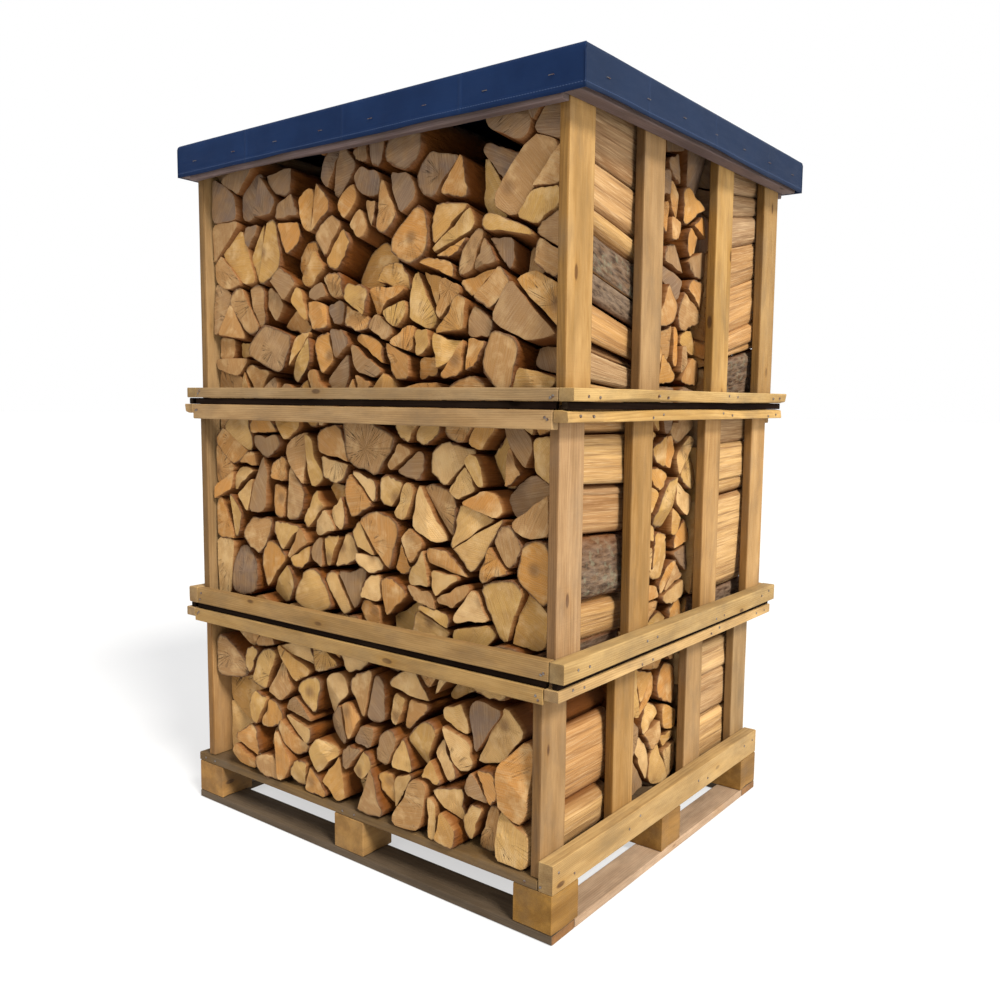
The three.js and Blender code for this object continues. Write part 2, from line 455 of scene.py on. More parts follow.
def log_bark():
    """Furrowed grey-brown bark with pale lichen."""
    material = new_material("log_bark")
    grain, tone = attribute(material, "grain"), attribute(material, "tone")
    furrow = grain.noise((120.0, 120.0, 34.0), 5.0, 0.65)
    plates = grain.spots((95.0, 95.0, 30.0))
    colour = mix(tone.part("Y"), (0.135, 0.078, 0.042), (0.185, 0.128, 0.082))
    colour = mix(furrow.between(0.40, 0.62), colour, (0.040, 0.024, 0.016))
    colour = mix(plates.between(0.30, 0.85, 0.0, 0.5), colour, (0.245, 0.175, 0.120))
    lichen = grain.noise(46.0, 4.0, 0.6).between(0.54, 0.63) * tone.part("Z").between(0.3, 0.9, 0.0, 0.5)
    colour = mix(lichen, colour, (0.20, 0.205, 0.135))
    return finish(material, shaded_inside(material, colour), 0.92, plates * 0.6 - furrow, 0.0045, 1.0, 0.15)


def steel():
    material = new_material("nail_steel")
    rust = Value(material.node_tree, "ShaderNodeTexCoord", output="Object").noise(260.0)
    colour = mix(rust.between(0.42, 0.62), (0.20, 0.19, 0.18), (0.13, 0.06, 0.03))
    return finish(material, colour, rust.between(0.4, 0.6, 0.35, 0.75), others={"Metallic": 0.7})


def floor_paint():
    """Pale floor paint that glows a little, so that it reads as white as the backdrop."""
    material = new_material("floor_paint")
    cloud = Value(material.node_tree, "ShaderNodeTexCoord", output="Object").noise(0.8)
    colour = cloud.ramp([(0.3, (0.33, 0.33, 0.33)), (0.7, (0.35, 0.35, 0.35))])
    glow = {"Emission Color": (1.0, 1.0, 1.0, 1.0), "Emission Strength": FLOOR_GLOW}
    return finish(material, colour, 0.9, others=glow)


def navy_cloth():
    """A coated navy cover: a fine weave, a dull shine, a painted sheen on its +X side, faint creases, a
    stitched hem and some dust.
    """
    material = new_material("navy_cloth")
    tree = material.node_tree
    place = Value(tree, "ShaderNodeTexCoord", output="Object")
    threads = []
    for axis in "XYZ":
        wave = {"Vector": place, "Scale": 190.0, "Distortion": 0.4, "Detail": 1.0}
        threads.append(Value(tree, "ShaderNodeTexWave", wave, "Fac", wave_type="BANDS", bands_direction=axis))
    weave = threads[0] + threads[1] + threads[2]
    cloud = place.noise(5.5, 4.0, 0.6)
    colour = mix(cloud.between(0.35, 0.70), (0.0012, 0.0115, 0.0480), (0.0050, 0.0210, 0.0730))
    dust = place.noise((8.0, 8.0, 36.0), 5.0, 0.7)
    colour = mix(dust.between(0.52, 0.80, 0.0, 0.08), colour, (0.05, 0.07, 0.10))
    colour = mix(weave.between(1.0, 2.2, 0.0, 0.22), colour, (0.004, 0.012, 0.045))
    # Painted sheen: faces turned towards +X are greyer and lighter, as light falls on that side.
    painted_sheen_side = Value(tree, "ShaderNodeNewGeometry", output="Normal").part("X")
    colour = mix(painted_sheen_side.between(0.3, 0.9, 0.0, 0.55), colour, (0.0125, 0.0205, 0.0380))
    height = weave * 0.12 + cloud
    for axis, spacing in CREASE_SPACING.items():
        away = (place.part(axis) + 10 * spacing).maths("PINGPONG", spacing / 2)
        crease = away.between(0.0, 0.007, 1.0, 0.0, smooth=True) * cloud
        height += crease * 1.1
        colour = mix(crease * 0.30, colour, (0.020, 0.038, 0.090))
    above = place.part("Z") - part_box("cover")[0].z
    height += above.between(HEM - 0.0010, HEM + 0.0010, 0.9, 0.0)
    along = ((place.part("X") + place.part("Y")) * (1 / STITCH)).maths("FRACT")
    row = (above - (HEM - 0.0030)).maths("ABSOLUTE")
    stitch = row.between(0.0005, 0.0009, 1.0, 0.0) * along.between(0.60, 0.66, 1.0, 0.0)
    colour = mix(stitch, colour, (0.045, 0.070, 0.140))
    height += stitch * 0.5
    return finish(material, colour, dust.between(0.4, 0.7, 0.58, 0.75), height, 0.0016, 0.8, 0.12)


# ---------------- prisms


def new_mesh(name, points, faces, materials):
    mesh = bpy.data.meshes.new(name)
    mesh.from_pydata([tuple(point) for point in points], [], faces)
    for material in materials:
        mesh.materials.append(material)
    return mesh


def add_piece(name, mesh):
    piece = add_object(name, mesh)
    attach(piece, ROOT)
    return piece


class Batch:
    """The points, faces and attributes of one mesh, gathered prism by prism."""

    def __init__(self):
        self.points, self.grain, self.tone, self.rim, self.open = [], [], [], [], []
        self.faces, self.slots = [], []
        self.count = 0

    def add(self, points, grain, tone, rim, opened, faces, slots):
        self.points.append(points)
        self.grain.append(grain)
        self.tone.append(np.tile(tone, (len(points), 1)))
        self.rim.append(rim)
        self.open.append(opened)
        self.faces += [tuple(index + self.count for index in face) for face in faces]
        self.slots += slots
        self.count += len(points)

    def make(self, name, materials, slot, smooth_sides=False):
        mesh = new_mesh(name, np.concatenate(self.points).tolist(), self.faces, materials)
        for key, kind, field, values in (
            ("grain", "FLOAT_VECTOR", "vector", self.grain),
            ("tone", "FLOAT_VECTOR", "vector", self.tone),
            ("rim", "FLOAT", "value", self.rim),
            ("open", "FLOAT", "value", self.open),
        ):
            made = mesh.attributes.new(key, kind, "POINT")
            made.data.foreach_set(field, np.concatenate(values).astype(np.float32).reshape(-1))
        mesh.polygons.foreach_set("material_index", self.slots)
        mesh.polygons.foreach_set("use_smooth", [smooth_sides and index != 0 for index in self.slots])
        mesh.update()
        return add_piece(name, mesh)


def area_and_middle(polygon):
    x, y = polygon[:, 0], polygon[:, 1]
    nx, ny = np.roll(x, -1), np.roll(y, -1)
    cross = x * ny - nx * y
    area = cross.sum() / 2
    middle = np.array([((x + nx) * cross).sum(), ((y + ny) * cross).sum()]) / (6 * area)
    return area, middle


def prism(batch, outline, span, turn, tone, pith, sides, rings, lift, ends, chamfer, bark=None, opened=None):
    """Carries outline, points going anticlockwise in (u, v), along w from span[0] to span[1].

    turn is a matrix from (u, v, w) to the frame. sides gives a material slot for each side face, and the ends
    take slot 0. lift(points, t) shapes the outline at the share t of the length. ends holds a function for
    each end, which says how far a point of it is pushed in. bark marks the outline's points that bark covers,
    and opened says how far each point's side can be seen.
    """
    n = len(outline)
    _, middle = area_and_middle(outline)
    low, high = span
    shallow = min(0.016, (high - low) * 0.2)
    inner = np.linspace(low + shallow, high - shallow, max(2, rings))
    stations = np.concatenate(([low, low + chamfer], inner, [high - chamfer, high]))
    size = np.abs(outline - middle).max()
    rows = []
    for index, w in enumerate(stations):
        section = lift(outline, (w - low) / (high - low))
        if index in (0, len(stations) - 1):
            section = middle + (section - middle) * (1 - chamfer / size)
        rows.append(np.column_stack([section, np.full(n, w)]))
    for edge in (rows[0], rows[-1]):
        for share in CAP_SHARES:
            inward = middle + (edge[:, :2] - middle) * share
            rows.append(np.column_stack([inward, edge[:, 2]]))
    tips = [[*middle, low], [*middle, high]]
    points = np.concatenate(rows + [tips])
    local = points[:, :2] - middle
    for end, inwards, push in zip((low, high), (1, -1), ends):
        near = np.clip(1 - np.abs(points[:, 2] - end) / (2.5 * shallow), 0, 1)
        points[:, 2] += inwards * push(local) * near

    bark = np.zeros(n, bool) if bark is None else bark
    opened = np.ones(n) if opened is None else opened
    count = len(stations)
    depth = np.minimum(stations - low, high - stations)
    # Where the sides escape the painted shade of the gaps: fully where open, a little near the ends (painted
    # light).
    near_end = np.interp(depth, [0, chamfer, shallow, shallow + 0.03], [0.62, 0.38, 0.06, 0.0])
    on_caps = [np.ones(n)] * 2 * len(CAP_SHARES)
    visible = [np.maximum(opened, share) for share in near_end] + on_caps + [np.ones(2)]
    edge_rim, next_rim = np.where(bark, 0.0, 0.75), np.where(bark, 0.85, 1.0)
    rim = [edge_rim] * count + [next_rim, np.ones(n), np.ones(n)] * 2 + [np.ones(2)]

    faces, slots = [], []
    for s in range(count - 1):
        for i in range(n):
            j = (i + 1) % n
            faces.append((s * n + i, s * n + j, (s + 1) * n + j, (s + 1) * n + i))
            slots.append(sides[i])
    caps = [(0, count, len(points) - 2, True), (count - 1, count + 3, len(points) - 1, False)]
    for first, inside, tip, flip in caps:
        blocks = (first, inside, inside + 1, inside + 2)
        for i in range(n):
            j = (i + 1) % n
            ring = [(a * n + i, a * n + j, b * n + j, b * n + i) for a, b in zip(blocks, blocks[1:])]
            ring.append((blocks[-1] * n + i, blocks[-1] * n + j, tip))
            faces += [face[::-1] if flip else face for face in ring]
            slots += [0] * len(ring)

    grain = points - np.array(pith)
    placed = points @ np.array(turn.to_3x3()).T + np.array(turn.translation)
    batch.add(placed, grain, tone, np.concatenate(rim), np.concatenate(visible), faces, slots)


# Directions of (u, v, w) for a prism that runs along each axis, all right-handed.
ALONG = {
    "X": Matrix(((0, 0, 1, 0), (1, 0, 0, 0), (0, 1, 0, 0), (0, 0, 0, 1))),
    "Y": Matrix(((1, 0, 0, 0), (0, 0, -1, 0), (0, 1, 0, 0), (0, 0, 0, 1))),
    "Z": Matrix(((1, 0, 0, 0), (0, 1, 0, 0), (0, 0, 1, 0), (0, 0, 0, 1))),
}


# ---------------- boards


def rounded_rectangle(width, height, radius, step):
    """Points round a rectangle about the origin, anticlockwise, with small round corners."""
    arcs = []
    for index, (sx, sy) in enumerate(((1, -1), (1, 1), (-1, 1), (-1, -1))):
        middle = np.array([sx * (width / 2 - radius), sy * (height / 2 - radius)])
        angles = [(index - 1 + share) * math.pi / 2 for share in (0.0, 0.5, 1.0)]
        arcs.append([middle + radius * np.array([math.cos(angle), math.sin(angle)]) for angle in angles])
    points = []
    for arc, following in zip(arcs, arcs[1:] + arcs[:1]):
        side = following[0] - arc[-1]
        pieces = max(1, int(round(np.linalg.norm(side) / step)))
        points += arc + [arc[-1] + side * k / pieces for k in range(1, pieces)]
    return np.array(points)


def uneven(rng, waves, amount):
    """A smooth curve over 0 to 1 of about this height: the sum of the first few of three sines."""
    terms = [(rng.uniform(0.5, 1.0) / k, k * rng.uniform(0.7, 1.3), rng.uniform(0, 6.3)) for k in (1, 2, 3)]
    return lambda t: amount * sum(a * math.sin(2 * math.pi * f * t + p) for a, f, p in terms[:waves])


def edge_slots(outline, width, height):
    """Material slots for a board's side faces: 1 on its two wide faces, 2 on its narrow edges."""
    across = 0 if width > height else 1
    reach = np.abs(outline + np.roll(outline, -1, axis=0))[:, across] / 2
    return [2 if place > max(width, height) / 2 - EDGE_RADIUS else 1 for place in reach]


def add_board(batch, low, high, rng, wane=0.0, own_edges=False):
    """A sawn board that fills the box from low to high, its grain along the box's longest side.

    wane is how far the tree's own outside cuts into one of its long corners. With own_edges, the narrow sides
    take a material slot of their own.
    """
    low, high = np.array(low), np.array(high)
    turn = ALONG["XYZ"[int(np.argmax(high - low))]].copy()
    turn.translation = Vector((high + low) / 2)
    width, height, length = np.abs(np.array(turn.to_3x3()).T @ (high - low))
    outline = rounded_rectangle(width - 2 * BOARD_SHRINK, height - 2 * BOARD_SHRINK, EDGE_RADIUS, BOARD_STEP)
    bow = [uneven(rng, 2, min(width, height) * 0.012) for _ in range(2)]
    cut = uneven(rng, 3, 1.0)
    corner = np.array([rng.choice((-1, 1)) * width / 2, rng.choice((-1, 1)) * height / 2])
    wobble = np.array([rng.uniform(-1, 1) * 0.0004 for _ in outline])[:, None]

    def lift(points, t):
        moved = (points + [bow[0](t), bow[1](t)]) * (1 + wobble)
        if wane:
            reach = np.clip(1 - np.linalg.norm(points - corner, axis=1) / (wane * 2.2), 0, 1) ** 0.7
            depth = wane * max(0.0, 0.35 + cut(t))
            moved -= np.sign(corner) * (reach * depth * 0.7)[:, None]
        return moved

    pith = [rng.choice((-1, 1)) * rng.uniform(*reach) for reach in ((0.02, 0.09), (0.03, 0.12), (0.0, 9.0))]
    tone = (rng.random(), rng.random(), rng.random())
    slopes = [(rng.uniform(-0.01, 0.01), rng.uniform(-0.01, 0.01)) for _ in range(2)]
    ends = [lambda local, slope=slope: 0.0006 + local @ np.array(slope) for slope in slopes]
    half = length / 2 - BOARD_SHRINK
    sides = edge_slots(outline, width, height) if own_edges else [1] * len(outline)
    rings = max(4, int(length / RING_STEP))
    prism(batch, outline, (-half, half), turn, tone, pith, sides, rings, lift, ends, BOARD_CHAMFER)


def board(name, low, high, materials, slot, rng, wane=0.0):
    """One board as a piece of its own. A third material is for its narrow edges."""
    batch = Batch()
    add_board(batch, low, high, rng, wane, len(materials) > 2)
    return batch.make(name, materials, slot)


# ---------------- log cross-sections


def clip(polygon, point, normal):
    """The part of a convex polygon where (p - point).normal is at most 0."""
    side = (polygon - point) @ normal
    kept = []
    for index in range(len(polygon)):
        here, there = side[index], side[(index + 1) % len(polygon)]
        a, b = polygon[index], polygon[(index + 1) % len(polygon)]
        if here <= 0:
            kept.append(a)
        if (here < 0 < there) or (there < 0 < here):
            kept.append(a + (b - a) * here / (here - there))
    return np.array(kept)


def rounded(cell, rng):
    """The cell cut down to an oval of about its own size, as a trunk's section is."""
    area, middle = area_and_middle(cell)
    x, y = (cell - middle).T
    nx, ny = np.roll(x, -1), np.roll(y, -1)
    cross = x * ny - nx * y
    xx = ((x * x + x * nx + nx * nx) * cross).sum() / (12 * area)
    yy = ((y * y + y * ny + ny * ny) * cross).sum() / (12 * area)
    xy = ((x * ny + 2 * x * y + 2 * nx * ny + nx * y) * cross).sum() / (24 * area)
    spread = np.array([[xx, xy], [xy, yy]])
    share = rng.uniform(*OVAL)
    for k in range(OVAL_SIDES):
        angle = 2 * math.pi * (k + 0.5) / OVAL_SIDES
        normal = np.array([math.cos(angle), math.sin(angle)])
        cell = clip(cell, middle + normal * share * 2 * math.sqrt(normal @ spread @ normal), normal)
    return cell


def edges_on(piece, whole):
    """Which edges of a piece lie on the outline of the round it was split from."""
    along = np.roll(whole, -1, axis=0) - whole
    lengths = np.linalg.norm(along, axis=1)
    real = lengths > 1e-6
    normals = np.column_stack([along[real, 1], -along[real, 0]]) / lengths[real, None]
    halfway = (piece + np.roll(piece, -1, axis=0)) / 2
    away = [np.abs(((point - whole[real]) * normals).sum(axis=1)).min() for point in halfway]
    return np.array(away) < 1e-5


def cells_in(width, height, size, rng, closed_at=None):
    """Pieces that fill a rectangle: rounds of many sizes, most of them split as firewood is.

    Each piece comes with which of its edges are the round's own. The cells that reach the edge at closed_at
    keep their corners, so that no light shows between them.
    """
    columns, rows = max(1, round(width / size)), max(1, round(height / (size * 0.92)))
    seeds, weights = [], []
    for row in range(rows):
        for column in range(columns):
            shift = 0.25 + 0.5 * (row % 2)
            u = (column + shift + rng.uniform(-0.40, 0.40)) / columns * width
            v = (row + 0.5 + rng.uniform(-0.40, 0.40)) / rows * height
            seeds.append((min(max(u, 0.01), width - 0.01), min(max(v, 0.01), height - 0.01)))
            weights.append((size * rng.uniform(0.10, 0.52)) ** 2)
    seeds = np.array(seeds)
    cells = []
    for index, seed in enumerate(seeds):
        cell = np.array([(0, 0), (width, 0), (width, height), (0, height)], float)
        for other in np.argsort(np.linalg.norm(seeds - seed, axis=1))[1:30]:
            offset = seeds[other] - seed
            share = 0.5 + (weights[index] - weights[other]) / (2 * offset @ offset)
            cell = clip(cell, seed + offset * share, offset)
            if len(cell) < 3:
                break
        if len(cell) >= 3:
            cells.append(cell)
    pieces = []
    for cell in cells:
        if closed_at is None or np.abs(cell[:, 0] - closed_at).min() > BESIDE:
            cell = rounded(cell, rng)
        pieces += [(piece, edges_on(piece, cell)) for piece in split(cell, size, rng)]
    return [(piece, own) for piece, own in pieces if area_and_middle(piece)[0] > 0.0009]


def split(cell, size, rng, chance=0.62):
    """The halves or quarters of a round, or the round itself."""
    area, middle = area_and_middle(cell)
    share = area / (size * size)
    if share < 0.42 or rng.random() > min(0.95, chance * share + 0.25):
        return [cell]
    offsets = cell - middle
    long_way = offsets[np.argmax(np.linalg.norm(offsets, axis=1))]
    lean = math.atan2(long_way[1], long_way[0]) + rng.gauss(0, 0.6)
    normal = np.array([math.cos(lean), math.sin(lean)])
    place = middle + normal * rng.uniform(-0.13, 0.13) * size
    halves = [clip(cell, place, normal), clip(cell, place, -normal)]
    return [part for half in halves if len(half) > 2 for part in split(half, size, rng, 0.45)]


# How a log fills its cell: its share of the gap, turn in degrees, size, swelling and chance of bark.
Fit = namedtuple("Fit", "gap turn size swell bark")
LOOSE = Fit(gap=1.0, turn=4.0, size=(0.93, 1.00), swell=0.0022, bark=0.70)
BESIDE_SLATS = Fit(gap=0.75, turn=1.8, size=(0.965, 0.995), swell=0.0010, bark=0.20)
CLOSED_CORNER = Fit(gap=0.08, turn=0.2, size=(0.994, 1.0), swell=0.0005, bark=0.20)


def loosened(cell, fit, rng):
    """The cell turned and shrunk a little, which opens dark wedges between the logs."""
    _, middle = area_and_middle(cell)
    angle = rng.gauss(0, math.radians(fit.turn))
    turn = np.array([[math.cos(angle), -math.sin(angle)], [math.sin(angle), math.cos(angle)]])
    return middle + (cell - middle) @ turn * rng.uniform(*fit.size)


def normals_of(polygon):
    """The outward direction of each edge."""
    along = np.roll(polygon, -1, axis=0) - polygon
    lengths = np.maximum(np.linalg.norm(along, axis=1), 1e-9)
    return np.column_stack([along[:, 1], -along[:, 0]]) / lengths[:, None]


def log_outline(cell, own, fit, rng):
    """A log's outline inside its cell, and which of its points lie on bark."""
    outline = cell
    count = len(cell)
    for index in range(count):
        a, b = cell[index], cell[(index + 1) % count]
        edge = b - a
        length = np.linalg.norm(edge)
        if length < 1e-6:
            continue
        normal = np.array([edge[1], -edge[0]]) / length
        gap = rng.uniform(*LOG_GAP) * fit.gap
        outline = clip(outline, a - normal * gap, normal)
        if len(outline) < 3:
            return None
    keep = [
        index
        for index in range(len(outline))
        if np.linalg.norm(outline[index] - outline[(index + 1) % len(outline)]) > 0.004
    ]
    outline = outline[keep]
    if len(outline) < 3:
        return None
    area, middle = area_and_middle(outline)
    if area < 0.0004:
        return None
    count = len(outline)
    lengths = np.array([np.linalg.norm(outline[(k + 1) % count] - outline[k]) for k in range(count)])
    bark = set()
    if rng.random() < fit.bark:
        facing = normals_of(outline) @ normals_of(cell).T
        bark = {k for k in range(count) if own[int(np.argmax(facing[k]))]}
    points, flags = [], []
    for k in range(count):
        before, here, after = outline[k - 1], outline[k], outline[(k + 1) % count]
        into, out = lengths[k - 1], lengths[k]
        both_bark = (k - 1) % count in bark and k in bark
        one_bark = ((k - 1) % count in bark) != (k in bark)
        reach = rng.uniform(0.022, 0.045) if both_bark else rng.uniform(0.003, 0.010 if one_bark else 0.020)
        reach_in, reach_out = min(reach, into * 0.46), min(reach, out * 0.46)
        start = here + (before - here) / into * reach_in
        end = here + (after - here) / out * reach_out
        for t in (0.0, 0.25, 0.5, 0.75, 1.0):
            points.append((1 - t) ** 2 * start + 2 * t * (1 - t) * here + t * t * end)
            flags.append(((k - 1) % count if t < 0.5 else k) in bark)
    points, flags = np.array(points), np.array(flags)
    steps = np.linalg.norm(np.roll(points, -1, axis=0) - points, axis=1)
    along = np.concatenate(([0], np.cumsum(steps)))
    wanted = np.linspace(0, along[-1], LOG_POINTS, endpoint=False)
    closed = np.vstack([points, points[:1]])
    even = np.column_stack([np.interp(wanted, along, closed[:, axis]) for axis in (0, 1)])
    nearest = np.searchsorted(along, wanted + 1e-9) - 1
    on_bark = flags[np.clip(nearest, 0, len(flags) - 1)]
    return even, on_bark, middle, math.sqrt(area)


def sawn_or_broken(rng):
    """How far each point of an end is pushed in: a slanted cut, often with a second, steeper facet."""
    slope = np.array([rng.gauss(0, 0.055), rng.gauss(0, 0.045)])
    angle, start = rng.uniform(0, 2 * math.pi), rng.uniform(-0.012, 0.022)
    facet = np.array([math.cos(angle), math.sin(angle)])
    steep = rng.uniform(0.15, 0.55) if rng.random() < 0.45 else 0.0
    return lambda local: local @ slope + np.clip(local @ facet - start, 0, None) * steep


def add_log(batch, cell, own, span, turn, open_at, rng, fit=LOOSE):
    """One log. open_at(outline) says how far each side point can be seen, from 0 to 1."""
    made = log_outline(loosened(cell, fit, rng), own, fit, rng)
    if made is None:
        return 0
    outline, on_bark, middle, size = made
    n = len(outline)
    outward = outline - middle
    outward /= np.maximum(np.linalg.norm(outward, axis=1), 1e-6)[:, None]

    def ripple(amount, smooth):
        values = np.array([rng.gauss(0, 1) for _ in range(n)])
        for _ in range(smooth):
            values = (values + np.roll(values, 1) + np.roll(values, -1)) / 2.2
        return values * amount

    near, far, swell = ripple(0.0014, 1), ripple(0.0014, 1), ripple(fit.swell, 2)
    crags = [ripple(0.0012, 0) for _ in range(LOG_RINGS + 4)]
    taper = rng.uniform(-0.05, 0.03)
    sweep = np.array([rng.uniform(-0.004, 0.004), rng.uniform(-0.003, 0.003)])

    def lift(points, t):
        crag = crags[int(t * (len(crags) - 1))]
        depth = near * (1 - t) + far * t + swell + np.where(on_bark, crag, crag * 0.25)
        moved = points + outward * (depth + 0.0006 - 0.0016 * (fit is LOOSE))[:, None]
        return middle + (moved - middle) * (1 + taper * (t - 0.5)) + sweep * math.sin(math.pi * t)

    angle = rng.uniform(0, 2 * math.pi)
    away = np.array([math.cos(angle), math.sin(angle)])
    reach = rng.uniform(0.2, 1.1)
    if on_bark.any():
        bark_side = outline[on_bark].mean(axis=0) - middle
        away = -bark_side / max(np.linalg.norm(bark_side), 1e-6)
        reach = rng.uniform(0.0, 0.12) if on_bark.all() else rng.uniform(0.15, 0.75)
    pith = [*(middle + away * size * reach), rng.uniform(-9, 9)]
    tint = rng.betavariate(1.3, 1.5)
    # Painted shade of the cover: the top tier's logs take darker tints, the topmost logs the darkest grey.
    if middle[1] > HEIGHTS["tier3"][0]:
        tint += UPPER_SHADE * (1 - tint)
    if middle[1] > STACK_TOP - COVER_SHADE_TOP:
        tint = rng.uniform(0.95, 1.0)
    tone = (tint, rng.random(), rng.random())
    sides = [2 if flag else 1 for flag in on_bark]
    ends = [sawn_or_broken(rng), sawn_or_broken(rng)]
    opened = open_at(outline)
    prism(batch, outline, span, turn, tone, pith, sides, LOG_RINGS, lift, ends, LOG_CHAMFER, on_bark, opened)
    return 1


# ---------------- log rows


def inside_of(tier):
    """The room between a tier's left and right slats, as lowest and highest x."""
    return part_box(f"{tier}_slat_left_front")[1].x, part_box(f"{tier}_slat_right_front")[0].x


TIER_NAMES = ("tier1", "tier2", "tier3")
ROOMS = {tier: inside_of(tier) for tier in TIER_NAMES}
HEIGHTS = {tier: [corner.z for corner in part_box(f"{tier}_slat_left_front")] for tier in TIER_NAMES}


def room_at(z):
    """Lowest and highest x for the logs at a height, easing from tier to tier."""
    middles = [sum(HEIGHTS[tier]) / 2 for tier in TIER_NAMES]
    lows = np.interp(z, middles, [ROOMS[tier][0] for tier in TIER_NAMES])
    highs = np.interp(z, middles, [ROOMS[tier][1] for tier in TIER_NAMES])
    for tier in TIER_NAMES:
        if HEIGHTS[tier][0] - 0.03 <= z <= HEIGHTS[tier][1] + 0.03:
            lows, highs = max(lows, ROOMS[tier][0]), min(highs, ROOMS[tier][1])
    return lows + 0.001, highs - 0.001


def fitted(cell, floor, width):
    """Moves a cell of the even rectangle into the stack, whose sides step with the tiers."""
    moved = cell.copy()
    for index, (u, v) in enumerate(cell):
        low, high = room_at(floor + v)
        moved[index, 0] = low + (high - low) * u / width
    return moved


def recess(rng, deep=0.07):
    """How far a log's end lies back from the face of its row."""
    return abs(rng.gauss(0, 0.008)) + (rng.uniform(0.02, 0.07) if rng.random() < deep else 0.0)


def left_out(cell, width, height, rng):
    """The top of the stack is uneven, except beside the slats."""
    at_top = cell[:, 1].max() > height - 0.012
    beside = cell[:, 0].min() < 0.05 or cell[:, 0].max() > width - 0.05
    return at_top and not beside and rng.random() < LEFT_OUT


def lean(row, tier, face_y, inward):
    """Tips a tier's logs, so that they run down inwards. The ends on show stay where they are."""
    low, high = HEIGHTS[tier]
    for vertex in row.data.vertices:
        share = (vertex.co.z - low) / (min(high, STACK_TOP) - low)
        along = max(0.0, inward * (vertex.co.y - face_y))
        if 0 < share < 1:
            vertex.co.z -= LEAN[tier] * along * 4 * share * (1 - share)


def end_row(name, inward, rng, materials):
    """A row of logs that lie along Y, their ends showing on the crate's front (inward 1) or back (-1)."""
    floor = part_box("deck")[1].z + 0.001
    width, height = ROW_WIDTH, STACK_TOP - floor
    batches = {tier: Batch() for tier in TIER_NAMES}
    made = 0

    # Sides beside the slats or at the top are open to view; the rest take the painted shade of the gaps.
    def open_at(outline):
        near = [min(u - room_at(v)[0], room_at(v)[1] - u, STACK_TOP - v) for u, v in outline]
        return np.clip(1.25 - np.array(near) / 0.030, 0, 1)

    for cell, own in cells_in(width, height, LOG_SIZE, rng, 0.0 if inward > 0 else width):
        if left_out(cell, width, height, rng):
            continue
        shape = fitted(cell, floor, width)
        shape[:, 1] += floor
        face_y = -inward * np.interp(shape[:, 1].mean(), ROW_FACE_HEIGHTS, ROW_FACE_PLACES)
        near = face_y + inward * recess(rng)
        far = near + inward * (LOG_LENGTH - rng.uniform(0.0, 0.022))
        span = tuple(sorted((-near, -far)))  # w runs towards -Y
        low, high = room_at(shape[:, 1].mean())
        beside = int(shape[:, 0].min() < low + BESIDE) - int(shape[:, 0].max() > high - BESIDE)
        closed = beside * inward > 0
        fit = CLOSED_CORNER if closed else BESIDE_SLATS if beside else LOOSE
        shape[:, 0] += beside * rng.uniform(0.003, 0.006 if closed else 0.009)
        tier = max(TIER_NAMES, key=lambda name: shape[:, 1].mean() > HEIGHTS[name][0] and HEIGHTS[name][0])
        made += add_log(batches[tier], shape, own, span, ALONG["Y"], open_at, rng, fit)
    for tier, batch in batches.items():
        row = batch.make(f"{name}_{tier}", materials, "firewood", True)
        lean(row, tier, -inward * ROW_FACE_PLACES[-1], inward)
        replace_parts(row, "log_stack")
    return made


def cross_stack(name, low_x, high_x, rng, materials):
    """A stack of logs that lie along X, in the middle row. A side left as None reaches the slats."""
    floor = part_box("deck")[1].z + 0.001
    width, height = 2 * ROW_HALF_DEPTH, STACK_TOP - floor
    batch = Batch()
    made = 0

    # Every side in the middle row takes the full painted shade of the gaps.
    def hidden(outline):
        return np.zeros(len(outline))

    for cell, own in cells_in(width, height, LOG_SIZE, rng):
        if left_out(cell, width, height, rng):
            continue
        shape = cell - [ROW_HALF_DEPTH, -floor]
        left, right = room_at(cell[:, 1].mean() + floor)
        back = SLAT_ROOM + recess(rng, 0.03)
        start = left + back if low_x is None else low_x + rng.uniform(-0.004, 0.004)
        end = right - back if high_x is None else high_x + rng.uniform(-0.004, 0.004)
        if low_x is None:
            end = min(end, start + LOG_LENGTH)
        if high_x is None:
            start = max(start, end - LOG_LENGTH)
        made += add_log(batch, shape, own, (start, end), ALONG["X"], hidden, rng)
    stack = batch.make(name, materials, "firewood", True)
    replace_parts(stack, "log_stack")
    return made


def add_logs():
    materials = [log_end(), log_split(), log_bark()]
    total = end_row("logs_front_row", 1, random.Random(11), materials)
    total += end_row("logs_back_row", -1, random.Random(23), materials)
    outer, inner = MIDDLE_PARTING, MIDDLE_PARTING - MIDDLE_SPACE
    total += cross_stack("logs_middle_left", None, -outer, random.Random(31), materials)
    total += cross_stack("logs_middle_centre", -inner, inner, random.Random(47), materials)
    total += cross_stack("logs_middle_right", outer, None, random.Random(53), materials)
    print("logs:", total)


# ---------------- crate and pallet


